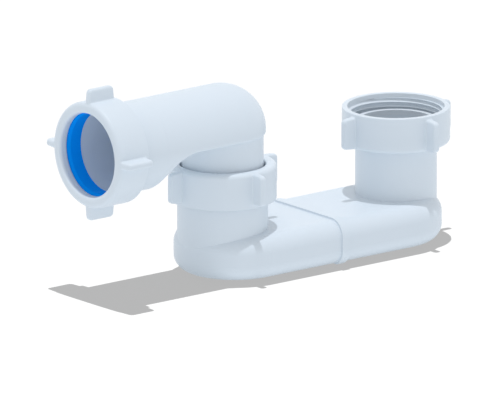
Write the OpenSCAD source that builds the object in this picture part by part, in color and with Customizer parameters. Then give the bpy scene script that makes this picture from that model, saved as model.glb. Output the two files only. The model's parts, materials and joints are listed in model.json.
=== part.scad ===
// Low-level bath trap in white polypropylene: a flat water-seal body in two joined halves, a union nut
// over the inlet tube, a riser with a compression joint, and a swivel outlet bend with a second
// compression joint for the waste pipe.
// Millimetres. The origin is on the inlet axis in the plane of the base. The riser and the outlet lie
// towards -X, and +Z is up.

/* [Layout] */
// Distance between the inlet axis and the riser axis
axis_spacing = 109.6; // [90:0.1:150]
// Height of the outlet tube's axis above the base
outlet_h = 72.9; // [68:0.1:110]
// Distance from the riser axis to the end of the outlet tube
outlet_reach = 76; // [66:0.5:120]
// Height of the inlet tube's end above the base
inlet_h = 56.3; // [44:0.1:90]
// Height of the riser tube's end above the base
riser_h = 45.3; // [36:0.1:47]

/* [Flat body] */
// Width of the flat body
body_w = 60; // [54:0.5:80]
// Height of the flat body
body_h = 22; // [20:0.5:26]
// Radius of the body's long edges
body_edge_r = 8; // [6:0.5:9]
// Wall thickness of the body
body_wall = 2.4; // [1.8:0.1:3]
// How far the body's inlet end stands proud of the inlet tube
inlet_end_step = 0.3; // [0.1:0.05:1]
// How far the body's riser end stands proud of the riser tube
riser_end_step = 0.1; // [0.1:0.05:1]

/* [Body joint] */
// Distance from the riser axis to the open edge of the joint collar
collar_pos = 51.2; // [40:0.1:70]
// Width of the collar along the body
collar_w = 4.5; // [4:0.1:8]
// How far the collar stands proud of the body
collar_proud = 1; // [0.5:0.1:2]
// Depth of the rebate in the outlet half that the collar laps over
lap_depth = 0.8; // [0.5:0.1:1]
// Length of the rebated tongue inside the collar
lap_len = 3.5; // [2.5:0.1:3.8]

/* [Tubes] */
// Outside diameter of the inlet tube
inlet_od = 40.3; // [38:0.1:41]
// Bore of the inlet tube
inlet_id = 36.6; // [34:0.1:37]
// Diameter of the bead that keeps the union nut on the inlet tube
bead_d = 43.8; // [43:0.1:44.6]
// Height of that bead
bead_h = 2.5; // [2:0.1:4]
// Outside diameter of the riser and outlet tubes, below their thread ridges
tube_od = 44.8; // [44.2:0.1:44.8]
// Bore of the riser and outlet tubes, which guide a 40 mm waste pipe
tube_id = 41.1; // [40.8:0.1:41.4]
// Outside diameter of the bend's spigot, which slides in the riser
spigot_od = 40.5; // [39.8:0.1:40.5]
// Bore of the bend's spigot
spigot_id = 36.5; // [34:0.1:37]
// Height of the spigot's lower end above the base
spigot_low = 25; // [24:0.5:34]

/* [Outlet bend] */
// How far the centre of the domed end lies from the riser axis, towards the outlet
dome_offset = 1.3; // [1:0.1:3]
// Depth of the flat underside below the outlet tube's axis
underside_drop = 2.9; // [1:0.1:5]
// Distance from the riser axis to the heel where the underside meets the full tube
heel_pos = 52; // [46:0.5:58]
// Radius of the hollow between the flat underside and the heel
heel_r = 20; // [14:0.5:20]
// Wall thickness of the bend's underside
bend_wall = 2; // [1.6:0.1:2.6]

/* [Nuts] */
// Outside diameter of a nut
nut_od = 53.4; // [52.4:0.1:58]
// Height of a nut
nut_h = 17.8; // [16:0.1:20]
// Diameter at the root of the nut's pipe thread, G 1 1/2
thread_root_d = 47.9; // [47.8:0.1:48.2]
// Length of the threaded wall, from the open end
thread_len = 7; // [6:0.1:7]
// Diameter of the thread relief behind it
relief_d = 48.6; // [48.4:0.1:49]
// Thickness of the nut's shoulder
shoulder_t = 3.4; // [2.4:0.1:4]
// Opening through the shoulder
shoulder_id = 42; // [41.6:0.1:42.4]
// Radius of the shoulder's outer edge
shoulder_edge_r = 2.2; // [1:0.1:4]
// Radius of the edge round the shoulder's opening
shoulder_lip_r = 1.6; // [0.5:0.1:2]
// Bevel on the open end
rim_bevel = 0.5; // [0.3:0.1:1]

/* [Nut lugs] */
// Number of lugs round a nut
lug_count = 4; // [2:1:6]
// Radius of the lugs' tips from the nut's axis
lug_tip_r = 33.7; // [30:0.1:38]
// Thickness of a lug where it leaves the nut
lug_root_t = 4.8; // [3.6:0.1:6]
// Thickness of a lug at its tip
lug_tip_t = 3.4; // [2.6:0.1:3.6]
// Gap from the lug to the open end of the nut
lug_low = 1.5; // [1:0.1:4]
// Gap from the lug to the shoulder's face
lug_high = 0.7; // [0.5:0.1:4]
// How much each end of a lug draws in towards its tip
lug_draft = 0.5; // [0:0.1:1]
// Corner radius of a lug's tip, seen from the side
lug_corner_r = 1.8; // [1:0.1:4]
// Radius of the lug's long edges
lug_edge_r = 1.1; // [0.8:0.1:1.6]

/* [Seals and rings] */
// Length of a seal's collar outside the tube
seal_collar_t = 5.2; // [3:0.05:5.5]
// Outside diameter of a seal's collar
seal_od = 44.4; // [43.6:0.1:44.6]
// Length of a seal's taper inside the tube
seal_taper_len = 2.7; // [2:0.1:4]
// Wall of a seal at the thin end of its taper
seal_lip_t = 0.6; // [0.4:0.1:1]
// How much the taper widens towards the collar
seal_taper_rise = 0.5; // [0.3:0.1:0.8]
// Mouth of a seal's lead-in, at its outer face
seal_lead_d = 42.6; // [41.6:0.1:43]
// Length of the lead-in
seal_lead_len = 1.5; // [0.8:0.1:2.5]
// Bore of the outlet seal, which grips the waste pipe
outlet_seal_id = 40.6; // [40:0.1:40.8]
// Thickness of a slip ring
ring_t = 0.8; // [0.6:0.1:1.4]
// Outside diameter of a slip ring
ring_od = 47.2; // [46.4:0.1:47.4]
// Bore of a slip ring
ring_id = 42.8; // [42.2:0.1:43.8]
// Thickness of the inlet washer
washer_t = 2.5; // [1.5:0.1:3]
// Outside diameter of the inlet washer
washer_od = 41.4; // [40:0.1:43]

/* [Fits] */
// Gap left under each slip ring while its nut is only hand-started
nut_slack = 0.3; // [0.2:0.05:1.5]
// Radial gap between the spigot and what it turns in
spigot_clear = 0.3; // [0.25:0.05:0.4]
// Gap of seats and laps inside one assembly
seat_gap = 0.05; // [0.03:0.01:0.1]
// Gap above the bead before the union nut's shoulder meets it
nut_lift = 2.3; // [1:0.1:6]

/* [Hidden] */
$fn = 96;
// Extra length of a cutting shape past the face that it cuts
cut = 1;

white = [0.90, 0.93, 0.97];
pale = [0.84, 0.86, 0.88];
blue = [0.02, 0.45, 0.86];

riser_x = -axis_spacing;
half_w = body_w / 2;
inlet_r = inlet_od / 2;
tube_r = tube_od / 2;
bore_r = tube_id / 2;
// Centres of the body's rounded ends
inlet_end_x = inlet_r + inlet_end_step - half_w;
riser_end_x = riser_x - tube_r - riser_end_step + half_w;
// The joint between the halves
joint_x = riser_x + collar_pos;
// Level at which the tubes' bores open into the flat body
mid_h = body_h / 2;
// Heights along a compression joint, from the end of its tube to the outside
ring_level = seal_collar_t + nut_slack;
shoulder_level = ring_level + ring_t;
nut_face_level = shoulder_level + shoulder_t;
riser_seal_id = spigot_od + 2 * spigot_clear;
underside_z = outlet_h - underside_drop;
dome_x = riser_x - dome_offset;
heel_x = riser_x - heel_pos;
mouth_x = riser_x - outlet_reach;

// Flat shapes

// Rectangle from [x0, y0] to [x1, y1], with its low corners rounded to low_r and its high ones to high_r
module rounded_rect(x0, y0, x1, y1, low_r, high_r) {
    difference() {
        translate([x0, y0]) square([x1 - x0, y1 - y0]);
        translate([x0, y0]) corner(low_r);
        translate([x1, y0]) mirror([1, 0]) corner(low_r);
        translate([x0, y1]) mirror([0, 1]) corner(high_r);
        translate([x1, y1]) mirror([1, 0]) mirror([0, 1]) corner(high_r);
    }
}

// What a round of radius r takes off the corner at the origin
module corner(r) {
    difference() {
        translate([-cut, -cut]) square(r + cut);
        translate([r, r]) circle(r);
        translate([r, -2 * cut]) square([3 * cut, r + 3 * cut]);
        translate([-2 * cut, r]) square([r + 3 * cut, 3 * cut]);
    }
}

// Section of the flat body, taken in from its outside by inset on every side
module body_section(inset) {
    rounded_rect(-half_w + inset, inset, half_w - inset, body_h - inset,
                 body_edge_r - inset, body_edge_r - inset);
}

// The same, right of its centre line
module body_half_section(inset) {
    intersection() {
        body_section(inset);
        square([body_w, body_h]);
    }
}

// The flat body

// Straight run of the body between two planes
module body_run(x0, x1, inset) {
    translate([x0, 0, 0]) rotate([90, 0, 90]) linear_extrude(x1 - x0) body_section(inset);
}

// Rounded end of the body, a half turn that faces towards -X, or +X with side = 1
module body_end(x, side, inset) {
    translate([x, 0, 0]) rotate([0, 0, -90 * side]) rotate_extrude(angle = 180) body_half_section(inset);
}

// Half of the inlet side: the body, its joint collar, the inlet tube and the bead for the union nut
module trap_inlet_half() {
    socket_x = joint_x + lap_len + seat_gap;
    color(white) difference() {
        union() {
            body_run(socket_x, inlet_end_x, 0);
            body_end(inlet_end_x, 1, 0);
            collar();
            translate([0, 0, mid_h]) cylinder(h = inlet_h - mid_h, r = inlet_r);
            translate([0, 0, inlet_h - bead_h]) bead();
        }
        body_run(joint_x - cut, inlet_end_x, body_wall);
        body_end(inlet_end_x, 1, body_wall);
        translate([0, 0, mid_h]) cylinder(h = inlet_h, r = inlet_id / 2);
    }
}

// Collar that stands proud of the body and laps over the outlet half's tongue
module collar() {
    difference() {
        body_run(joint_x, joint_x + collar_w, -collar_proud);
        body_run(joint_x - cut, joint_x + lap_len + seat_gap, lap_depth - seat_gap);
        translate([joint_x - cut, -body_w, -2 * collar_proud])
            cube([collar_w + 2 * cut, 2 * body_w, 2 * collar_proud]);
    }
}

// Bead round the end of the inlet tube, bevelled at both edges
module bead() {
    bevel = (bead_d - inlet_od) / 4;
    rotate_extrude() polygon([
        [inlet_id / 2, 0], [bead_d / 2 - bevel, 0], [bead_d / 2, bevel],
        [bead_d / 2, bead_h - bevel], [bead_d / 2 - bevel, bead_h], [inlet_id / 2, bead_h]
    ]);
}

// Half of the outlet side: the body, its tongue and the riser tube
module trap_outlet_half() {
    color(white) difference() {
        union() {
            body_run(riser_end_x, joint_x, 0);
            body_end(riser_end_x, -1, 0);
            body_run(joint_x - cut, joint_x + lap_len, lap_depth);
            translate([riser_x, 0, mid_h]) cylinder(h = riser_h - mid_h, r = tube_r);
        }
        body_run(riser_end_x, joint_x + lap_len + cut, body_wall);
        body_end(riser_end_x, -1, body_wall);
        translate([riser_x, 0, mid_h]) cylinder(h = riser_h, r = bore_r);
        translate([riser_x, 0, riser_h]) seal_seat(riser_seal_id / 2);
    }
}

// Compression joint: z = 0 is the end of the tube, +Z points out of it

// Hollow cone that a tube's mouth has for its seal
module seal_seat(seal_bore_r) {
    foot_r = seal_bore_r + seal_lip_t + seat_gap;
    translate([0, 0, -seal_taper_len])
        cylinder(h = seal_taper_len, r1 = foot_r, r2 = foot_r + seal_taper_rise);
    cylinder(h = cut, r = foot_r + seal_taper_rise);
    translate([0, 0, -seal_taper_len - seat_gap]) cylinder(h = 2 * seat_gap, r = foot_r);
}

// Rubber seal: a collar that bears on the tube's end, a taper that wedges into its mouth, and a lead-in
// at the outer end of the bore
module seal(seal_bore_r) {
    foot_r = seal_bore_r + seal_lip_t;
    top_r = foot_r + seal_taper_rise;
    lead_r = seal_lead_d / 2;
    rotate_extrude() {
        polygon([
            [seal_bore_r, -seal_taper_len], [foot_r, -seal_taper_len], [top_r, 0], [top_r, cut],
            [seal_bore_r, cut]
        ]);
        difference() {
            translate([seal_bore_r, 0]) square([seal_od / 2 - seal_bore_r, seal_collar_t]);
            translate([seal_od / 2, seal_collar_t]) rotate(180) corner(seal_lip_t);
            translate([seal_od / 2, 0]) rotate(90) corner(seal_lip_t / 2);
            polygon([
                [seal_bore_r - cut, seal_collar_t - seal_lead_len], [seal_bore_r, seal_collar_t - seal_lead_len],
                [lead_r, seal_collar_t], [lead_r, seal_collar_t + cut], [seal_bore_r - cut, seal_collar_t + cut]
            ]);
        }
    }
}

// Slip ring that lets the nut turn without dragging on the seal
module slip_ring() {
    translate([0, 0, ring_level]) difference() {
        cylinder(h = ring_t, r = ring_od / 2);
        translate([0, 0, -cut]) cylinder(h = ring_t + 2 * cut, r = ring_id / 2);
    }
}

// Coupling nut: open end at z = 0, shoulder at z = nut_h
module coupling_nut() {
    union() {
        rotate_extrude() difference() {
            square([nut_od / 2, nut_h]);
            translate([nut_od / 2, nut_h]) rotate(180) corner(shoulder_edge_r);
            translate([nut_od / 2, 0]) rotate(45) square(rim_bevel * sqrt(2), center = true);
            translate([-cut, -cut]) square([thread_root_d / 2 + cut, thread_len + 2 * cut]);
            translate([-cut, thread_len])
                square([relief_d / 2 + cut, nut_h - shoulder_t - thread_len]);
            translate([-cut, -cut]) square([shoulder_id / 2 + cut, nut_h + 2 * cut]);
            translate([shoulder_id / 2, nut_h]) mirror([0, 1]) corner(shoulder_lip_r);
        }
        for (i = [0 : lug_count - 1]) rotate([0, 0, i * 360 / lug_count]) lug();
    }
}

// Lug for turning a nut by hand: the shape common to its plan, its side view and its end view
module lug() {
    // The lug starts inside the nut's wall
    root_r = (nut_od / 2 + relief_d / 2) / 2;
    low = lug_low;
    high = nut_h - lug_high;
    intersection() {
        linear_extrude(nut_h) difference() {
            polygon([
                [root_r, -lug_root_t / 2], [lug_tip_r, -lug_tip_t / 2],
                [lug_tip_r, lug_tip_t / 2], [root_r, lug_root_t / 2]
            ]);
            translate([lug_tip_r, -lug_tip_t / 2]) mirror([1, 0]) corner(lug_edge_r);
            translate([lug_tip_r, lug_tip_t / 2]) rotate(180) corner(lug_edge_r);
        }
        translate([0, lug_root_t, 0]) rotate([90, 0, 0]) linear_extrude(2 * lug_root_t)
            lug_side(root_r, low, high);
        translate([root_r - cut, 0, 0]) rotate([90, 0, 90]) linear_extrude(lug_tip_r)
            rounded_rect(-lug_root_t / 2, low, lug_root_t / 2, high, lug_edge_r, lug_edge_r);
    }
}

// Side view of a lug, whose ends draw in towards the rounded corners of its tip
module lug_side(root_r, low, high) {
    slope = atan(lug_draft / (lug_tip_r - root_r));
    // Centre of a corner's round, and the point where it meets the sloping end
    centre_r = lug_tip_r - lug_corner_r;
    centre_up = lug_draft - lug_corner_r * tan(slope) + lug_corner_r / cos(slope);
    meet_r = centre_r + lug_corner_r * sin(slope);
    meet_up = centre_up - lug_corner_r * cos(slope);
    union() {
        polygon([
            [root_r, low], [meet_r, low + meet_up], [centre_r, low + centre_up],
            [centre_r, high - centre_up], [meet_r, high - meet_up], [root_r, high]
        ]);
        translate([centre_r - cut, low + centre_up])
            square([lug_corner_r + cut, high - low - 2 * centre_up]);
        translate([centre_r, low + centre_up]) circle(lug_corner_r);
        translate([centre_r, high - centre_up]) circle(lug_corner_r);
    }
}

// Puts a compression joint's pieces on the riser
module on_riser() {
    translate([riser_x, 0, riser_h]) children();
}

// Puts them on the outlet tube, where +Z turns to -X
module on_outlet() {
    translate([mouth_x, 0, outlet_h]) rotate([0, -90, 0]) children();
}

// The outlet bend

// Turned body of the bend: a tube with a domed end, of radius r, from x0 to the dome
module domed_tube(x0, r) {
    translate([dome_x, 0, outlet_h]) rotate([0, -90, 0]) rotate_extrude() union() {
        intersection() {
            circle(r);
            translate([0, -r - cut]) square([r + cut, r + cut]);
        }
        square([r, dome_x - x0]);
    }
}

// The space under the bend, taken in by inset: flat above, with a round hollow towards the heel
module underside(inset) {
    translate([0, body_w, 0]) rotate([90, 0, 0]) linear_extrude(2 * body_w) difference() {
        translate([heel_x - inset, 0]) square([heel_pos + body_w, underside_z + inset]);
        translate([heel_x - inset, underside_z + inset]) mirror([0, 1]) corner(heel_r + inset);
    }
}

// Bend from the riser to the outlet tube, with its spigot
module outlet_bend() {
    color(white) difference() {
        union() {
            difference() {
                domed_tube(mouth_x, tube_r);
                underside(0);
            }
            translate([riser_x, 0, spigot_low])
                cylinder(h = underside_z + bend_wall / 2 - spigot_low, r = spigot_od / 2);
        }
        difference() {
            domed_tube(mouth_x - cut, bore_r);
            underside(bend_wall);
        }
        translate([riser_x, 0, spigot_low - cut])
            cylinder(h = underside_z + 2 * bend_wall - spigot_low + cut, r = spigot_id / 2);
        on_outlet() seal_seat(outlet_seal_id / 2);
    }
}

// The loose pieces

// Union nut, with its thread upwards and its shoulder under the bead
module inlet_nut() {
    shoulder_z = inlet_h - bead_h - nut_lift - shoulder_t;
    color(white) translate([0, 0, shoulder_z + nut_h]) rotate([180, 0, 0]) coupling_nut();
}

// Washer on the end of the inlet tube
module inlet_washer() {
    color(pale) translate([0, 0, inlet_h]) difference() {
        cylinder(h = washer_t, r = washer_od / 2);
        translate([0, 0, -cut]) cylinder(h = washer_t + 2 * cut, r = inlet_id / 2);
    }
}

module riser_seal() {
    color(blue) on_riser() seal(riser_seal_id / 2);
}

module riser_slip_ring() {
    color(pale) on_riser() slip_ring();
}

module riser_nut() {
    color(white) on_riser() translate([0, 0, nut_face_level - nut_h]) coupling_nut();
}

module outlet_seal() {
    color(blue) on_outlet() seal(outlet_seal_id / 2);
}

module outlet_slip_ring() {
    color(pale) on_outlet() slip_ring();
}

module outlet_nut() {
    color(white) on_outlet() translate([0, 0, nut_face_level - nut_h]) coupling_nut();
}

trap_inlet_half();
trap_outlet_half();
inlet_nut();
inlet_washer();
riser_seal();
riser_slip_ring();
riser_nut();
outlet_bend();
outlet_seal();
outlet_slip_ring();
outlet_nut();
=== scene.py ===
"""Looks of a low-level plastic bath trap, built around its packed construction model."""

import json
import math

import bmesh
import bpy
from bpy.props import FloatProperty, FloatVectorProperty, IntProperty, PointerProperty
from mathutils import Matrix, Vector

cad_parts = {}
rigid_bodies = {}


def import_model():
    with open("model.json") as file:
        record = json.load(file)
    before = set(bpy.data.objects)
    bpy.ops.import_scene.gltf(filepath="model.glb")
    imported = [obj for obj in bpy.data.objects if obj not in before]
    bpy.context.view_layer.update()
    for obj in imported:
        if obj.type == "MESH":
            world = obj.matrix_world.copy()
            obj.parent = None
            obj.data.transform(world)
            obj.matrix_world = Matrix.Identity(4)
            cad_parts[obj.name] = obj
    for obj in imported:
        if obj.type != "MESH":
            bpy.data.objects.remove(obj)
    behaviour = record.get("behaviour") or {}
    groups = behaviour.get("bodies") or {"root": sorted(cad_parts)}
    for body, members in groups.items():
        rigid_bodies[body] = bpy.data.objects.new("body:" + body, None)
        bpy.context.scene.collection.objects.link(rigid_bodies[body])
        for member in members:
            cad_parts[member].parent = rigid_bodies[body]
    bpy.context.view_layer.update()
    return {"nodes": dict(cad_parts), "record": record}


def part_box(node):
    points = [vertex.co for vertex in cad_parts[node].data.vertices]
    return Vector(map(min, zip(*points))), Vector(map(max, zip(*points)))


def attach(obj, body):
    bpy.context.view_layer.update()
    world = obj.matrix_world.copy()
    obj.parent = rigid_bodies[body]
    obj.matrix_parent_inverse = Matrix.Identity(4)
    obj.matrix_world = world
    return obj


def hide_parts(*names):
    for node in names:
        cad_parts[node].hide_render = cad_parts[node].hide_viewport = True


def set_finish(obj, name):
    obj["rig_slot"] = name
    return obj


bl_info = {
    "name": "Bath trap",
    "version": (1, 0, 0),
    "blender": (4, 5, 0),
    "location": "3D View > Sidebar > Bath trap",
    "description": "Moulded pieces, finishes and studio of a low-level bath trap",
    "category": "Object",
}

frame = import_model()
MM = 0.001
# The riser's axis and the outlet tube's axis, from the construction model
RISER_X = (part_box("riser_nut")[0].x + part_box("riser_nut")[1].x) / 2
OUTLET_Z = (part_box("outlet_nut")[0].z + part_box("outlet_nut")[1].z) / 2
# Radii that the pieces share with the construction model
NUT_R = 26.7 * MM
NUT_OPENING_R = 21 * MM
THREAD_ROOT_R = 23.95 * MM
TUBE_R = 22.4 * MM
SPIGOT_R = 20.25 * MM
SPIGOT_BORE_R = 18.25 * MM
# How far a thread ridge's foot is sunk in its wall
SUNK = 0.1 * MM
# Faces that meet at more than this show an edge
SHARP = math.radians(35)
# Sides of a round piece
SIDES = 128


# Mesh helpers


def new_piece(name, bm, body, slot, replaced=()):
    """Puts a finished mesh in the scene as one piece that moves with a body."""
    mesh = bpy.data.meshes.new(name)
    for face in bm.faces:
        face.smooth = True
    bm.to_mesh(mesh)
    bm.free()
    piece = bpy.data.objects.new(name, mesh)
    bpy.context.scene.collection.objects.link(piece)
    mesh.set_sharp_from_angle(angle=SHARP)
    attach(piece, body)
    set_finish(piece, slot)
    if replaced:
        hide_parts(*replaced)
    return piece


def add_mesh(bm, other):
    """Adds another mesh to bm and frees it."""
    mesh = bpy.data.meshes.new("part")
    other.to_mesh(mesh)
    other.free()
    bm.from_mesh(mesh)
    bpy.data.meshes.remove(mesh)


def turned(section):
    """Ring turned about Z from a closed section of radius and height points."""
    bm = bmesh.new()
    verts = [bm.verts.new((r, 0, z)) for r, z in section]
    edges = [bm.edges.new(pair) for pair in zip(verts, verts[1:] + verts[:1])]
    bmesh.ops.spin(
        bm, geom=verts + edges, cent=(0, 0, 0), axis=(0, 0, 1), dvec=(0, 0, 0),
        angle=2 * math.pi, steps=SIDES, use_merge=True, use_duplicate=False,
    )
    bmesh.ops.recalc_face_normals(bm, faces=bm.faces[:])
    return bm


def round_edges(bm, edges, size, segments):
    """Rounds edges of a mesh to a radius."""
    bmesh.ops.bevel(
        bm, geom=edges, offset=size, offset_type="OFFSET", affect="EDGES",
        segments=segments, profile=0.5, material=-1, clamp_overlap=True,
    )


def round_ring(bm, radius, height, size, segments):
    """Rounds the turned edge at that radius and height."""
    def on_ring(vert):
        return (
            abs(math.hypot(vert.co.x, vert.co.y) - radius) < 1e-6
            and abs(vert.co.z - height) < 1e-6
        )

    round_edges(bm, [e for e in bm.edges if all(on_ring(v) for v in e.verts)], size, segments)


def helical_ridge(section, start, turns, pitch, fades, ledge=-math.inf):
    """Thread ridge about Z, from a section of radius and height points that starts in its wall.

    The ridge rises out of the wall over its first degrees and sinks back over its last ones, which are the
    two fades. It is cut flat at the ledge."""
    steps_a_turn = 96
    steps = round(turns * steps_a_turn)
    sunk_r = section[0][0]
    bm = bmesh.new()
    verts = [bm.verts.new((r, 0, start + z)) for r, z in section]
    face = bm.faces.new(verts)
    bmesh.ops.spin(
        bm, geom=[face] + face.verts[:] + face.edges[:], cent=(0, 0, 0), axis=(0, 0, 1),
        dvec=(0, 0, pitch / steps_a_turn), angle=2 * math.pi * steps / steps_a_turn,
        steps=steps, use_merge=False, use_duplicate=False,
    )
    middle = sum(z for r, z in section) / len(section)
    for vert in bm.verts:
        around = math.degrees(math.atan2(vert.co.y, vert.co.x)) % 360
        # Turns from the ridge's start, from the height that the helix has here
        rise = (vert.co.z - start - middle) / pitch
        whole = round(rise - around / 360)
        along = (whole + around / 360) * 360
        keep = max(0.0, min(1.0, along / fades[0], (turns * 360 - along) / fades[1]))
        keep = keep * keep * (3 - 2 * keep)
        radius = math.hypot(vert.co.x, vert.co.y)
        scale = (sunk_r + (radius - sunk_r) * keep) / radius
        vert.co.x *= scale
        vert.co.y *= scale
        vert.co.z = max(vert.co.z, ledge)
    bmesh.ops.recalc_face_normals(bm, faces=bm.faces[:])
    return bm


def linear(seen):
    """A seen sRGB hex value as linear red, green and blue."""
    levels = [int(seen[i:i + 2], 16) / 255 for i in (0, 2, 4)]
    return tuple(c / 12.92 if c <= 0.04045 else ((c + 0.055) / 1.055) ** 2.4 for c in levels)


# Sizes and colours that a user would change


class NutSizes(bpy.types.PropertyGroup):
    """Sizes of the three hand-tightened nuts."""

    edge: FloatProperty(
        name="Shoulder edge", description="Radius of the shoulder's outer edge",
        default=2.2 * MM, min=0.5 * MM, max=3 * MM, unit="LENGTH",
    )
    crown: FloatProperty(
        name="Shoulder crown",
        description="How far the rounded shoulder stands over the plain one of the construction model",
        default=0.3 * MM, min=0, max=1 * MM, unit="LENGTH",
    )
    shoulder: FloatProperty(
        name="Shoulder thickness", description="Thickness of the shoulder, without its crown",
        default=3.4 * MM, min=2 * MM, max=5 * MM, unit="LENGTH",
    )
    lip: FloatProperty(
        name="Opening edge", description="Radius of the edge round the shoulder's opening",
        default=1.7 * MM, min=0.2 * MM, max=2 * MM, unit="LENGTH",
    )
    rim: FloatProperty(
        name="Rim edge", description="Radius of the open end's outer edge",
        default=0.45 * MM, min=0.2 * MM, max=1.5 * MM, unit="LENGTH",
    )
    mouth: FloatProperty(
        name="Mouth edge", description="Radius of the open end's inner edge",
        default=0.3 * MM, min=0.1 * MM, max=1 * MM, unit="LENGTH",
    )
    relief: FloatProperty(
        name="Relief radius", description="Radius of the plain groove between the thread and the shoulder",
        default=24.8 * MM, min=24 * MM, max=25.5 * MM, precision=5, unit="LENGTH",
    )
    flare: FloatProperty(
        name="Lug flare", description="Radius where a lug runs into the nut's wall",
        default=0.8 * MM, min=0.2 * MM, max=3 * MM, unit="LENGTH",
    )
    lug_root: FloatProperty(
        name="Lug root", description="Thickness of a lug at the nut's wall",
        default=3.6 * MM, min=2 * MM, max=8 * MM, unit="LENGTH",
    )
    lug_tip: FloatProperty(
        name="Lug tip", description="Thickness of a lug at its tip",
        default=3.3 * MM, min=2.9 * MM, max=8 * MM, unit="LENGTH",
    )
    lug_reach: FloatProperty(
        name="Lug reach", description="Distance of a lug's tip from the nut's axis",
        default=33.35 * MM, min=30 * MM, max=36 * MM, precision=5, unit="LENGTH",
    )
    lug_rise: FloatProperty(
        name="Lug rise", description="Distance of a lug from the nut's open end",
        default=1.7 * MM, min=0.5 * MM, max=6 * MM, unit="LENGTH",
    )
    lug_drop: FloatProperty(
        name="Lug drop", description="Distance of a lug from the top of the nut's shoulder",
        default=0.4 * MM, min=0, max=6 * MM, unit="LENGTH",
    )
    lug_draft: FloatProperty(
        name="Lug draft", description="How much a lug's two ends slope in towards its tip",
        default=0.5 * MM, min=0, max=2 * MM, unit="LENGTH",
    )
    lug_corner: FloatProperty(
        name="Lug corner", description="Radius between a lug's tip and its two ends",
        default=1.8 * MM, min=0.5 * MM, max=4 * MM, unit="LENGTH",
    )
    lug_edge: FloatProperty(
        name="Lug edge", description="Radius of the edges along a lug",
        default=1.1 * MM, min=0.2 * MM, max=1.4 * MM, unit="LENGTH",
    )
    lugs: IntProperty(name="Lugs", description="Lugs round a nut", default=4, min=2, max=8)
    turn: FloatProperty(
        name="Nut turn", description="Turn of the two upright nuts from the trap's axes",
        default=math.radians(-1), min=math.radians(-5), max=math.radians(5), unit="ROTATION",
    )


class ThreadSizes(bpy.types.PropertyGroup):
    """Pipe thread G 1 1/2 of the nuts and the tube ends."""

    pitch: FloatProperty(
        name="Pitch", description="Distance from ridge to ridge",
        default=2.309 * MM, min=1 * MM, max=4 * MM, precision=6, unit="LENGTH",
    )
    minor: FloatProperty(
        name="Minor radius", description="Radius of the nut's crests",
        default=22.65 * MM, min=20 * MM, max=24 * MM, precision=5, unit="LENGTH",
    )
    depth: FloatProperty(
        name="Depth", description="Depth of a nut's threaded wall from its open end",
        default=7.9 * MM, min=6 * MM, max=9 * MM, precision=5, unit="LENGTH",
    )
    nut_turns: FloatProperty(
        name="Nut ridge", description="Turns of the ridge in a nut", default=2.6, min=1, max=3,
    )
    tube_turns: FloatProperty(
        name="Tube ridge", description="Turns of the ridge on a tube's end", default=1.5, min=1, max=2.5,
    )
    start: FloatProperty(
        name="Start", description="Distance from a nut's open end to the start of its ridge",
        default=1.27 * MM, min=0.9 * MM, max=3 * MM, precision=5, unit="LENGTH",
    )
    ledge: FloatProperty(
        name="Plain mouth", description="Depth of the nut's plain mouth, where its ridge is cut flat",
        default=2.35 * MM, min=0, max=3 * MM, precision=5, unit="LENGTH",
    )
    turn: FloatProperty(
        name="Ridge turn", description="Turn of a nut's ridge about its axis",
        default=math.radians(-150), min=math.radians(-180), max=math.radians(180), unit="ROTATION",
    )
    lead_in: FloatProperty(
        name="Lead-in", description="Turn over which a nut's ridge rises to its height",
        default=math.radians(240), min=math.radians(5), max=math.radians(360), unit="ROTATION",
    )
    run_out: FloatProperty(
        name="Run-out", description="Turn over which a ridge ends",
        default=math.radians(50), min=math.radians(5), max=math.radians(180), unit="ROTATION",
    )


class Finishes(bpy.types.PropertyGroup):
    """Colours of the materials."""

    polypropylene: FloatVectorProperty(
        name="Polypropylene", description="White of the body, bend and nuts",
        subtype="COLOR", default=linear("E4EBF1"), min=0, max=1,
    )
    polyethylene: FloatVectorProperty(
        name="Polyethylene", description="White of the washer and slip rings",
        subtype="COLOR", default=linear("E3E8ED"), min=0, max=1,
    )
    seal: FloatVectorProperty(
        name="Seal", description="Blue of the sealing rubber",
        subtype="COLOR", default=linear("0099FF"), min=0, max=1,
    )


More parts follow.
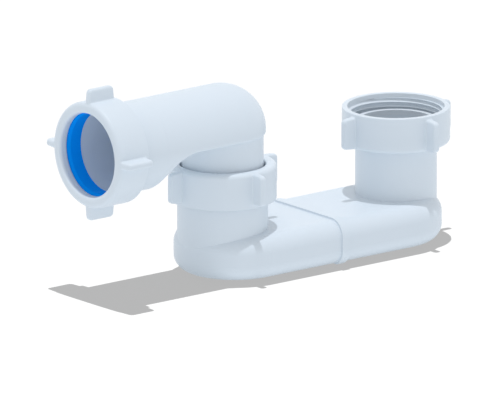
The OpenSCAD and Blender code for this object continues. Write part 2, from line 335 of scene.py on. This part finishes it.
class StudioSettings(bpy.types.PropertyGroup):
    """Camera and light."""

    azimuth: FloatProperty(
        name="Azimuth", description="Turn of the view from looking along +Y",
        default=math.radians(-38.8), unit="ROTATION",
    )
    elevation: FloatProperty(
        name="Elevation", description="Height of the view above level",
        default=math.radians(14.86), unit="ROTATION",
    )
    width: FloatProperty(
        name="Width", description="Width of the picture", default=246.3 * MM, unit="LENGTH",
    )
    aim_right: FloatProperty(
        name="Aim right", description="The picture's middle, to the right of the foot of the riser's axis",
        default=13.52 * MM, precision=5, unit="LENGTH",
    )
    aim_up: FloatProperty(
        name="Aim up", description="The picture's middle, above the foot of the riser's axis",
        default=34.73 * MM, precision=5, unit="LENGTH",
    )
    sun: FloatProperty(name="Sun", description="Strength of the overhead light on the trap", default=1.24)
    floor_sun: FloatProperty(
        name="Floor sun", description="Strength of the overhead light on the floor", default=34,
    )
    sun_angle: FloatProperty(
        name="Sun angle", description="Angle over which the overhead light spreads, for soft shadows",
        default=math.radians(0.4), unit="ROTATION",
    )
    lean: FloatProperty(
        name="Lean", description="Lean of the overhead light towards the outlet",
        default=math.radians(1), unit="ROTATION",
    )
    tip: FloatProperty(
        name="Tip", description="Lean of the overhead light towards the front",
        default=math.radians(0.45), unit="ROTATION",
    )
    shadow: FloatProperty(
        name="Shadow", description="Brightness of the floor in a shadow", default=0.447, min=0, max=1,
    )
    paper: FloatProperty(
        name="Paper", description="Share of the light on the floor that it throws back",
        default=0.05, min=0, max=1,
    )
    gap: FloatProperty(
        name="Floor gap", description="Height of the trap's base over the floor, as its shadow shows",
        default=2.25 * MM, min=0, unit="LENGTH",
    )
    sky: FloatProperty(name="Sky", description="Strength of the light from all round", default=0.67)
    tint: FloatVectorProperty(
        name="Tint", description="Colour of the overhead light and the sky",
        subtype="COLOR", default=linear("F4F9FF"), min=0, max=1,
    )
    bounce: FloatProperty(
        name="Floor bounce", description="Light that the floor throws up in a shadow", default=0.61,
    )
    bounce_tint: FloatVectorProperty(
        name="Bounce tint", description="Colour of the floor's bounce",
        subtype="COLOR", default=linear("EEF7FF"), min=0, max=1,
    )
    lit_bounce: FloatProperty(
        name="Lit floor bounce", description="Share of the floor's own grey for light that it throws up",
        default=0.71,
    )


# Nuts


def lug(height, sizes):
    """One lug along +X, closed, with its root sunk in the nut's wall.

    The root runs into the wall in a flare, all round but on the shoulder's side, where the wall is rounded
    and the lug runs straight in."""
    foot = NUT_R + sizes.flare
    low, high = sizes.lug_rise, height - sizes.lug_drop

    def wall_x(y, z):
        """Place of the nut's wall along X, with the shoulder's rounded edge."""
        over = max(0.0, z - (height - sizes.edge))
        radius = NUT_R - sizes.edge + math.sqrt(max(sizes.edge**2 - over**2, 0.0))
        return math.sqrt(radius**2 - y * y)

    def at_foot(part):
        return all(v.co.x < foot + 1e-7 for v in part.verts)

    # A block from the foot to the tip, thinner and drafted at the tip
    bm = bmesh.new()
    bmesh.ops.create_cube(bm, size=2)
    for vert in bm.verts:
        outer = vert.co.x > 0
        half = (sizes.lug_tip if outer else sizes.lug_root) / 2
        inset = sizes.lug_draft if outer else 0
        vert.co = (
            sizes.lug_reach if outer else foot,
            math.copysign(half, vert.co.y),
            high - inset if vert.co.z > 0 else low + inset,
        )
    across = [
        e for e in bm.edges
        if all(v.co.x > foot + MM for v in e.verts) and abs(e.verts[0].co.y - e.verts[1].co.y) > MM
    ]
    round_edges(bm, across, sizes.lug_corner, segments=5)
    along = [e for e in bm.edges if e.calc_face_angle(0) > math.radians(50) and not at_foot(e)]
    round_edges(bm, along, sizes.lug_edge, segments=4)

    # The way in which each point of the open root flares out. It fades to none on the shoulder's side.
    bmesh.ops.delete(bm, geom=[f for f in bm.faces if at_foot(f)], context="FACES_ONLY")
    bm.normal_update()
    rim = [e for e in bm.edges if e.is_boundary]
    ways = {}
    for vert in {v for e in rim for v in e.verts}:
        way = Vector((0, vert.normal.y, min(vert.normal.z, 0)))
        ways[vert] = way.normalized() * min(1, way.length * 4) if way.length > 1e-4 else way

    # The flare, ring by ring, and a last ring that is sunk in the wall
    steps = 6
    places = {vert: vert.co.copy() for vert in ways}
    roots = {vert: vert for vert in ways}
    for step in range(1, steps + 2):
        grown = bmesh.ops.extrude_edge_only(bm, edges=rim)["geom"]
        ring = [v for v in grown if isinstance(v, bmesh.types.BMVert)]
        rim = [e for e in grown if isinstance(e, bmesh.types.BMEdge) and e.is_boundary]
        # A new point starts where the point that it grew from is
        roots = {vert: roots[min(roots, key=lambda v: (v.co - vert.co).length)] for vert in ring}
        turn = math.radians(90) * min(step, steps) / steps
        sink = 0.5 * MM if step > steps else 0
        for vert, root in roots.items():
            place = places[root] + ways[root] * sizes.flare * (1 - math.cos(turn))
            place.x = wall_x(place.y, place.z) + sizes.flare * (1 - math.sin(turn)) - sink
            vert.co = place
    bmesh.ops.contextual_create(bm, geom=rim)
    bmesh.ops.recalc_face_normals(bm, faces=bm.faces[:])
    return bm


def nut_mesh(plain_height, sizes, threads):
    """Nut with its open end at Z = 0 and its shoulder at the top."""
    height, shoulder = plain_height + sizes.crown, plain_height - sizes.shoulder
    bm = turned([
        (THREAD_ROOT_R, 0), (THREAD_ROOT_R, threads.depth),
        (sizes.relief, threads.depth), (sizes.relief, shoulder),
        (NUT_OPENING_R, shoulder), (NUT_OPENING_R, height), (NUT_R, height), (NUT_R, 0),
    ])
    round_ring(bm, NUT_R, height, sizes.edge, segments=8)
    round_ring(bm, NUT_OPENING_R, height, sizes.lip, segments=4)
    round_ring(bm, NUT_R, 0, sizes.rim, segments=4)
    round_ring(bm, THREAD_ROOT_R, 0, sizes.mouth, segments=2)
    one = lug(height, sizes)
    for number in range(sizes.lugs):
        copy = one.copy()
        bmesh.ops.rotate(
            copy, verts=copy.verts[:],
            matrix=Matrix.Rotation(number * 2 * math.pi / sizes.lugs, 3, "Z"),
        )
        add_mesh(bm, copy)
    one.free()
    # Half of the ridge's section, from its foot in the wall to its crest
    flank = [
        (THREAD_ROOT_R + SUNK, 0.7 * MM), (THREAD_ROOT_R - 0.05 * MM, 0.62 * MM),
        (threads.minor + 0.1 * MM, 0.22 * MM), (threads.minor, 0.1 * MM),
    ]
    section = [(r, -z) for r, z in flank] + flank[::-1]
    fades = math.degrees(threads.lead_in), math.degrees(threads.run_out)
    ridge = helical_ridge(
        section, threads.start, threads.nut_turns, threads.pitch, fades, threads.ledge,
    )
    bmesh.ops.rotate(ridge, verts=ridge.verts[:], matrix=Matrix.Rotation(threads.turn, 3, "Z"))
    add_mesh(bm, ridge)
    return bm


class TRAP_OT_nuts(bpy.types.Operator):
    """Make the three nuts, with their lugs and their threads"""

    bl_idname = "trap.nuts"
    bl_label = "Nuts"

    def execute(self, context):
        sizes, threads = context.scene.trap_nuts, context.scene.trap_threads
        low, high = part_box("inlet_nut")
        turn = Matrix.Rotation(sizes.turn, 4, "Z")
        # Each nut's open end, and which way its shoulder faces
        places = {
            "inlet_nut": Matrix.Translation((0, 0, high.z)) @ turn @ Matrix.Rotation(math.pi, 4, "X"),
            "riser_nut": Matrix.Translation((RISER_X, 0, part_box("riser_nut")[0].z)) @ turn,
            "outlet_nut": Matrix.Translation((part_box("outlet_nut")[1].x, 0, OUTLET_Z))
            @ Matrix.Rotation(-math.pi / 2, 4, "Y"),
        }
        for node, place in places.items():
            bm = nut_mesh(high.z - low.z, sizes, threads)
            bmesh.ops.transform(bm, matrix=place, verts=bm.verts[:])
            new_piece("moulded_" + node, bm, node, "nut_plastic", [node])
        return {"FINISHED"}


class TRAP_OT_tube_threads(bpy.types.Operator):
    """Make the thread ridges on the riser's and the outlet tube's ends"""

    bl_idname = "trap.tube_threads"
    bl_label = "Tube threads"

    def execute(self, context):
        threads = context.scene.trap_threads
        # Half of the ridge's section, from its foot in the wall to its crest
        flank = [(TUBE_R - SUNK, 0.8 * MM), (TUBE_R + 0.1 * MM, 0.7 * MM), (TUBE_R + 1.2 * MM, 0.3 * MM)]
        section = [(r, -z) for r, z in flank] + [(TUBE_R + 1.3 * MM, 0)] + flank[::-1]
        fades = (math.degrees(threads.run_out),) * 2
        # Half a pitch from the nut's ridge, whose open end is this far below the tube's end
        nut_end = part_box("riser_nut")[0].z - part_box("trap_outlet_half")[1].z
        start = nut_end + threads.start + threads.pitch * (0.5 - threads.turn / (2 * math.pi))
        places = {
            "trap": Matrix.Translation((RISER_X, 0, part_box("trap_outlet_half")[1].z)),
            "bend": Matrix.Translation((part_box("outlet_bend")[0].x, 0, OUTLET_Z))
            @ Matrix.Rotation(-math.pi / 2, 4, "Y"),
        }
        for body, place in places.items():
            bm = helical_ridge(section, start, threads.tube_turns, threads.pitch, fades)
            bmesh.ops.transform(bm, matrix=place, verts=bm.verts[:])
            new_piece(body + "_thread_ridge", bm, body, "body_plastic")
        return {"FINISHED"}


# Outlet bend


class BendSizes(bpy.types.PropertyGroup):
    """Sizes of the outlet bend's two skins."""

    radius: FloatProperty(
        name="Radius", description="Outer radius of the tube",
        default=TUBE_R, min=18 * MM, unit="LENGTH",
    )
    bore: FloatProperty(
        name="Bore", description="Inner radius of the tube",
        default=20.55 * MM, min=15 * MM, unit="LENGTH",
    )
    drop: FloatProperty(
        name="Underside", description="Depth of the flat underside below the tube's axis",
        default=2.9 * MM, min=0.5 * MM, unit="LENGTH",
    )
    heel: FloatProperty(
        name="Heel", description="Distance from the riser's axis to the heel",
        default=52 * MM, unit="LENGTH",
    )
    hollow: FloatProperty(
        name="Hollow", description="Radius between the underside and the heel",
        default=20 * MM, min=5 * MM, unit="LENGTH",
    )
    wall: FloatProperty(
        name="Wall", description="Thickness of the underside",
        default=2 * MM, min=0.5 * MM, unit="LENGTH",
    )
    fillet: FloatProperty(
        name="Edge", description="Radius of the edge round the underside",
        default=1.3 * MM, min=0.2 * MM, max=3 * MM, unit="LENGTH",
    )
    seat: FloatProperty(
        name="Seat", description="Depth of the mouth's conical seat for the seal",
        default=2.75 * MM, min=1 * MM, max=5 * MM, unit="LENGTH",
    )
    seat_bottom: FloatProperty(
        name="Seat bottom", description="Radius of the seat at its bottom",
        default=20.95 * MM, min=20 * MM, max=22 * MM, precision=5, unit="LENGTH",
    )
    seat_mouth: FloatProperty(
        name="Seat mouth", description="Radius of the seat at the tube's end",
        default=21.45 * MM, min=20 * MM, max=22 * MM, precision=5, unit="LENGTH",
    )


def spaced(length, near, count):
    """Distances from an edge to the far side: close together near the edge, then in even steps."""
    # The close ones draw the edge's radius, which is near
    steps = [near * part for part in (0, 0.12, 0.26, 0.42, 0.6, 0.8, 1.05, 1.4)]
    squeeze = min(1, 0.5 * length / steps[-1])
    steps = [step * squeeze for step in steps]
    return steps + [steps[-1] + (length - steps[-1]) * part / count for part in range(1, count + 1)]


def half_section(radius, depth, near):
    """Half of a tube's section, from the middle of a flat floor that lies depth below the axis."""
    across = math.sqrt(max(radius * radius - depth * depth, 0))
    floor = [(across - step, -depth) for step in reversed(spaced(across, near, 4))]
    low = math.acos(min(depth / radius, 1))
    around = [low + step / radius for step in spaced((math.pi - low) * radius, near, 44)[1:]]
    return floor + [(radius * math.sin(a), -radius * math.cos(a)) for a in around]


def bend_stations(radius, drop, heel_x, hollow, near, dome_x):
    """Places along a skin of the bend, from the dome's tip to past the heel.

    Each is an angle in the dome, a place along X and the floor's depth there."""
    # Round the dome, and along the flat underside
    stations = [(math.radians(angle), dome_x, drop) for angle in range(0, 90, 5)]
    start = heel_x + hollow
    stations += [(math.pi / 2, dome_x + (start - dome_x) * part / 5, drop) for part in range(6)]
    # Down the hollow to where it leaves the tube, as heights over the hollow's axis
    lowest = hollow + drop - radius
    rises = [hollow * math.cos(math.radians(angle)) for angle in range(6, 79, 6)]
    rises += [lowest + step for step in reversed(spaced(rises[-1] - lowest, near, 4)[:-1])]
    for rise in rises:
        along = math.sqrt(max(hollow * hollow - rise * rise, 0))
        stations.append((math.pi / 2, start - along, drop + hollow - rise))
    # Past the heel, where the tube is round
    last = stations[-1][1]
    stations += [(math.pi / 2, last - step, radius) for step in spaced(8 * near, near, 4)[1:]]
    return stations


def rounded(point, sizes, axis_z, dome_x, heel_x):
    """Signed distance of a point from the bend's outer skin with its rounded edge, and its direction."""
    along = max(point.x - dome_x, 0)
    from_axis = Vector((along, point.y, point.z - axis_z))
    tube, tube_way = from_axis.length - sizes.radius, from_axis.normalized()
    back = heel_x + sizes.hollow - point.x
    up = point.z - (axis_z - sizes.drop - sizes.hollow)
    corner = Vector((max(back, 0), 0, max(up, 0)))
    if back > 0 or up > 0:
        floor = sizes.hollow - corner.length
        way = corner.normalized()
        floor_way = Vector((way.x, 0, -way.z))
    else:
        floor, floor_way = sizes.hollow - max(back, up), Vector((0, 0, -1))
    tube, floor = tube + sizes.fillet, floor + sizes.fillet
    if tube > 0 and floor > 0:
        distance = math.hypot(tube, floor)
        return distance - sizes.fillet, (tube_way * tube + floor_way * floor) / distance
    if tube > floor:
        return tube - sizes.fillet, tube_way
    return floor - sizes.fillet, floor_way


class TRAP_OT_bend(bpy.types.Operator):
    """Make the outlet bend, with the rounded edge round its underside"""

    bl_idname = "trap.bend"
    bl_label = "Outlet bend"

    def execute(self, context):
        sizes = context.scene.trap_bend
        low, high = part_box("outlet_bend")
        mouth_x, dome_x = low.x, high.x - sizes.radius
        bm = self.shell(sizes, mouth_x, dome_x)
        # The spigot is joined on and bored out
        spigot = bmesh.new()
        foot, top = low.z, OUTLET_Z - sizes.drop + sizes.wall / 2
        self.upright(spigot, SPIGOT_R, foot, top)
        bore = bmesh.new()
        self.upright(bore, SPIGOT_BORE_R, foot - MM, OUTLET_Z)
        piece = new_piece("moulded_outlet_bend", bm, "bend", "body_plastic", ["outlet_bend"])
        self.combine(piece, spigot, "UNION")
        self.combine(piece, bore, "DIFFERENCE")
        piece.data.set_sharp_from_angle(angle=SHARP)
        return {"FINISHED"}

    def shell(self, sizes, mouth_x, dome_x):
        """Both skins of the bend as one closed shell."""
        near = sizes.fillet
        heel_x = RISER_X - sizes.heel
        outer = bend_stations(sizes.radius, sizes.drop, heel_x, sizes.hollow, near, dome_x)
        outer = [(sizes.radius, *station) for station in outer]
        outer.append((sizes.radius, math.pi / 2, mouth_x, sizes.radius))
        inner = bend_stations(
            sizes.bore, sizes.drop - sizes.wall, heel_x - sizes.wall, sizes.hollow + sizes.wall,
            near, dome_x,
        )
        inner = [(sizes.bore, *station) for station in inner]
        # The mouth's conical seat for the seal
        seat = ((sizes.bore, sizes.seat), (sizes.seat_bottom, sizes.seat), (sizes.seat_mouth, 0))
        inner += [(radius, math.pi / 2, mouth_x + inset, radius) for radius, inset in seat]
        stations = outer + inner[::-1]
        columns = len(half_section(sizes.radius, sizes.drop, near))
        bm = bmesh.new()
        # A sheet with one row for each station, folded into place
        bmesh.ops.create_grid(bm, x_segments=len(stations) - 1, y_segments=columns - 1, size=1)
        for vert in bm.verts:
            row = round((vert.co.x + 1) / 2 * (len(stations) - 1))
            column = round((vert.co.y + 1) / 2 * (columns - 1))
            radius, angle, x, depth = stations[row]
            out, rise = half_section(radius, depth, near)[column]
            vert.co = (x + out * math.cos(angle), out * math.sin(angle), OUTLET_Z + rise)
            if row < len(outer) - 1:
                # Each pass brings the point closer to the rounded skin
                for _ in range(6):
                    distance, way = rounded(vert.co, sizes, OUTLET_Z, dome_x, heel_x)
                    vert.co -= way * distance
        # The middle line lies exactly on the mirror plane
        for vert in bm.verts:
            if abs(vert.co.y) < 1e-8:
                vert.co.y = 0
        bmesh.ops.mirror(bm, geom=bm.verts[:] + bm.edges[:] + bm.faces[:], axis="Y", merge_dist=1e-7)
        bmesh.ops.remove_doubles(bm, verts=bm.verts[:], dist=1e-7)
        bmesh.ops.dissolve_degenerate(bm, edges=bm.edges[:], dist=1e-7)
        bmesh.ops.recalc_face_normals(bm, faces=bm.faces[:])
        return bm

    def upright(self, bm, radius, foot, top):
        """Upright cylinder about the riser's axis."""
        bmesh.ops.create_cone(
            bm, cap_ends=True, segments=SIDES, radius1=radius, radius2=radius, depth=top - foot,
            matrix=Matrix.Translation((RISER_X, 0, (foot + top) / 2)),
        )

    def combine(self, piece, tool_bm, operation):
        """Joins a mesh to the piece, or cuts it out."""
        mesh = bpy.data.meshes.new("tool")
        tool_bm.to_mesh(mesh)
        tool_bm.free()
        tool = bpy.data.objects.new("tool", mesh)
        bpy.context.scene.collection.objects.link(tool)
        modifier = piece.modifiers.new("combine", "BOOLEAN")
        modifier.object, modifier.operation, modifier.solver = tool, operation, "EXACT"
        shaped = bpy.data.meshes.new_from_object(
            piece.evaluated_get(bpy.context.evaluated_depsgraph_get())
        )
        piece.modifiers.clear()
        piece.data = shaped
        bpy.data.objects.remove(tool)
        bpy.data.meshes.remove(mesh)


# Finishes


def add(tree, kind, settings=(), **inputs):
    """Adds a node. Its settings are attributes, and its inputs are values or other nodes' sockets."""
    node = tree.nodes.new(kind)
    for name, value in dict(settings).items():
        setattr(node, name, value)
    for name, value in inputs.items():
        socket = node.inputs[int(name[1:]) if name[1:].isdigit() else name.replace("_", " ")]
        if isinstance(value, bpy.types.NodeSocket):
            tree.links.new(value, socket)
        else:
            socket.default_value = value
    return node


def scaled(colour, share):
    """Colour at a share of its strength, as a node takes it."""
    return (*(c * share for c in colour), 1)


def moulded(name, colour, roughness, shade, grain_mm, depth_mm, flow_mm, gloss=0.5, glow=0.0):
    """Moulded plastic or rubber: a fine mould texture, faint flow shading, uneven sheen and painted glow.
    """
    material = bpy.data.materials.new(name)
    material.use_nodes = True
    tree = material.node_tree
    tree.nodes.clear()
    place = add(tree, "ShaderNodeTexCoord").outputs["Object"]
    # Where the melt flowed, its tone and sheen vary slowly
    flow = add(
        tree, "ShaderNodeTexNoise", Vector=place, Scale=1 / (flow_mm * MM), Detail=2.0, Roughness=0.5,
    )
    base, dark = scaled(colour, 1), scaled(colour, 1 - shade)
    tone = add(tree, "ShaderNodeMix", {"data_type": "RGBA"}, _0=flow.outputs["Fac"], _6=dark, _7=base)
    sheen = add(
        tree, "ShaderNodeMapRange", Value=flow.outputs["Fac"], From_Min=0.3, From_Max=0.7,
        To_Min=roughness - 0.05, To_Max=roughness + 0.05,
    )
    # Spark-eroded texture of the mould
    grain = add(
        tree, "ShaderNodeTexNoise", Vector=place, Scale=1 / (grain_mm * MM), Detail=3.0, Roughness=0.6,
    )
    bump = add(
        tree, "ShaderNodeBump", Strength=0.35, Distance=depth_mm * MM, Height=grain.outputs["Fac"],
    )
    # The emission is painted light: a glow in the piece's own colour, brighter than the lamps make it
    shader = add(
        tree, "ShaderNodeBsdfPrincipled", Base_Color=tone.outputs[2],
        Roughness=sheen.outputs["Result"], IOR=1.49, Specular_IOR_Level=gloss,
        Normal=bump.outputs["Normal"], Emission_Color=base, Emission_Strength=glow,
    )
    add(tree, "ShaderNodeOutputMaterial", Surface=shader.outputs["BSDF"])
    return material


class TRAP_OT_finishes(bpy.types.Operator):
    """Give every piece its material"""

    bl_idname = "trap.finishes"
    bl_label = "Finishes"

    def execute(self, context):
        colours = context.scene.trap_finishes
        # Injection-moulded polypropylene: satin, from a mould with a fine spark-eroded texture of 0.3 mm,
        # drawn at 0.5 mm so that it shows
        plastic = moulded(
            "moulded_polypropylene_satin", colours.polypropylene,
            roughness=0.45, shade=0.015, grain_mm=0.5, depth_mm=0.008, flow_mm=14,
        )
        # Polyethylene washer and rings: waxy and a little darker
        waxy = moulded(
            "moulded_polyethylene_waxy", colours.polyethylene,
            roughness=0.5, shade=0.02, grain_mm=0.4, depth_mm=0.01, flow_mm=8,
        )
        # Moulded sealing rubber: smooth with a soft sheen; its faint glow of its own blue is painted light
        rubber = moulded(
            "moulded_sealing_rubber_blue", colours.seal,
            roughness=0.55, shade=0.04, grain_mm=0.35, depth_mm=0.01, flow_mm=6, gloss=0.04, glow=0.05,
        )
        slots = {
            "body_plastic": plastic, "nut_plastic": plastic, "washer_plastic": waxy,
            "ring_plastic": waxy, "seal_rubber": rubber,
        }
        node_slots = {s["node"]: s["material_slot"] for s in frame["record"]["subparts"]}
        for node, piece in frame["nodes"].items():
            piece.data.materials.clear()
            piece.data.materials.append(slots[node_slots[node]])
        for piece in bpy.context.scene.objects:
            if piece.type == "MESH" and "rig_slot" in piece:
                piece.data.materials.clear()
                piece.data.materials.append(slots[piece["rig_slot"]])
        return {"FINISHED"}


# Studio


def to_the_eye(tree):
    """Socket that is 1 for what the eye sees, also in gloss, and 0 for the light that falls on the trap."""
    rays = add(tree, "ShaderNodeLightPath").outputs
    share = rays["Is Camera Ray"]
    for kind in ("Is Glossy Ray", "Is Transmission Ray"):
        both = add(tree, "ShaderNodeMath", {"operation": "ADD", "use_clamp": True}, _0=share, _1=rays[kind])
        share = both.outputs[0]
    return share


class TRAP_OT_studio(bpy.types.Operator):
    """Set up the floor, the light and the camera"""

    bl_idname = "trap.studio"
    bl_label = "Studio"

    def execute(self, context):
        scene, settings = context.scene, context.scene.trap_studio
        self.light(scene, settings, self.floor(settings))
        self.camera(scene, settings)
        scene.view_settings.view_transform = "Standard"
        return {"FINISHED"}

    def floor(self, settings):
        """Plain floor that is white to the eye and pale grey to the light that it throws back."""
        bm = bmesh.new()
        bmesh.ops.create_grid(bm, x_segments=1, y_segments=1, size=4)
        bmesh.ops.translate(bm, verts=bm.verts[:], vec=(0, 0, -settings.gap))
        mesh = bpy.data.meshes.new("floor")
        bm.to_mesh(mesh)
        bm.free()
        floor = bpy.data.objects.new("floor", mesh)
        bpy.context.scene.collection.objects.link(floor)
        material = bpy.data.materials.new("floor_paper")
        material.use_nodes = True
        tree = material.node_tree
        tree.nodes.clear()
        eye = to_the_eye(tree)
        # The paper glows evenly, so that its shadow is an even grey
        level = add(
            tree, "ShaderNodeMix", {"data_type": "RGBA"}, _0=eye,
            _6=scaled(settings.bounce_tint, settings.bounce), _7=scaled((1, 1, 1), settings.shadow),
        )
        glow = add(tree, "ShaderNodeEmission", Color=level.outputs[2], Strength=1.0)
        # Its own grey is so dark that only its own lamp shows on it, and makes it white
        level = add(
            tree, "ShaderNodeMix", {"data_type": "RGBA"}, _0=eye,
            _6=scaled(settings.tint, settings.lit_bounce * settings.paper),
            _7=scaled((1, 1, 1), settings.paper),
        )
        paper = add(tree, "ShaderNodeBsdfDiffuse", Color=level.outputs[2])
        both = add(tree, "ShaderNodeAddShader", _0=paper.outputs[0], _1=glow.outputs[0])
        add(tree, "ShaderNodeOutputMaterial", Surface=both.outputs[0])
        mesh.materials.append(material)
        return floor

    def light(self, scene, settings, floor):
        """Lamps overhead for the trap and for the floor alone, and even light from all round."""
        only_floor = bpy.data.collections.new("lit_by_overhead_for_floor")
        only_floor.objects.link(floor)
        lamps = {
            "overhead": (settings.sun, settings.tint, None),
            "overhead_for_floor": (settings.floor_sun, (1, 1, 1), only_floor),
        }
        for name, (energy, colour, lit) in lamps.items():
            lamp = bpy.data.lights.new(name, "SUN")
            lamp.energy, lamp.color, lamp.angle = energy, colour, settings.sun_angle
            overhead = bpy.data.objects.new(name, lamp)
            overhead.location = (0, 0, 1)
            overhead.rotation_euler = (settings.tip, -settings.lean, 0)
            scene.collection.objects.link(overhead)
            overhead.light_linking.receiver_collection = lit
        world = bpy.data.worlds.new("studio")
        scene.world = world
        world.use_nodes = True
        tree = world.node_tree
        tree.nodes.clear()
        level = add(
            tree, "ShaderNodeMix", {"data_type": "RGBA"}, _0=to_the_eye(tree),
            _6=scaled(settings.tint, settings.sky), _7=(1, 1, 1, 1),
        )
        sky = add(tree, "ShaderNodeBackground", Color=level.outputs[2], Strength=1.0)
        add(tree, "ShaderNodeOutputWorld", Surface=sky.outputs[0])

    def camera(self, scene, settings):
        """Camera of the photograph: parallel projection, a little above level."""
        camera = bpy.data.cameras.new("camera")
        camera.type = "ORTHO"
        camera.ortho_scale = settings.width
        holder = bpy.data.objects.new("camera", camera)
        scene.collection.objects.link(holder)
        a, e = settings.azimuth, settings.elevation
        right = Vector((math.cos(a), math.sin(a), 0))
        up = Vector((-math.sin(a) * math.sin(e), math.cos(a) * math.sin(e), math.cos(e)))
        back = right.cross(up)
        aim = Vector((RISER_X, 0, 0)) + right * settings.aim_right + up * settings.aim_up
        turn = Matrix((right, up, back)).transposed()
        holder.matrix_world = Matrix.Translation(aim + back) @ turn.to_4x4()
        camera.clip_start, camera.clip_end = 0.01, 10
        scene.camera = holder


class TRAP_PT_panel(bpy.types.Panel):
    """Sidebar panel with the settings and the steps"""

    bl_idname = "TRAP_PT_panel"
    bl_label = "Bath trap"
    bl_space_type = "VIEW_3D"
    bl_region_type = "UI"
    bl_category = "Bath trap"

    def draw(self, context):
        for name, group in SETTINGS.items():
            box = self.layout.box()
            box.label(text=group.__doc__)
            for setting in group.__annotations__:
                box.prop(getattr(context.scene, name), setting)
        for step in STEPS:
            self.layout.operator(step.bl_idname)


SETTINGS = {
    "trap_nuts": NutSizes, "trap_threads": ThreadSizes, "trap_bend": BendSizes,
    "trap_finishes": Finishes, "trap_studio": StudioSettings,
}
STEPS = (TRAP_OT_nuts, TRAP_OT_tube_threads, TRAP_OT_bend, TRAP_OT_finishes, TRAP_OT_studio)
CLASSES = (*SETTINGS.values(), *STEPS, TRAP_PT_panel)


def register():
    for cls in CLASSES:
        bpy.utils.register_class(cls)
    for name, group in SETTINGS.items():
        setattr(bpy.types.Scene, name, PointerProperty(type=group))


def unregister():
    for name in SETTINGS:
        delattr(bpy.types.Scene, name)
    for cls in reversed(CLASSES):
        bpy.utils.unregister_class(cls)


def main():
    register()
    bpy.ops.trap.nuts()
    bpy.ops.trap.tube_threads()
    bpy.ops.trap.bend()
    bpy.ops.trap.finishes()
    bpy.ops.trap.studio()


if __name__ == "__main__":
    main()
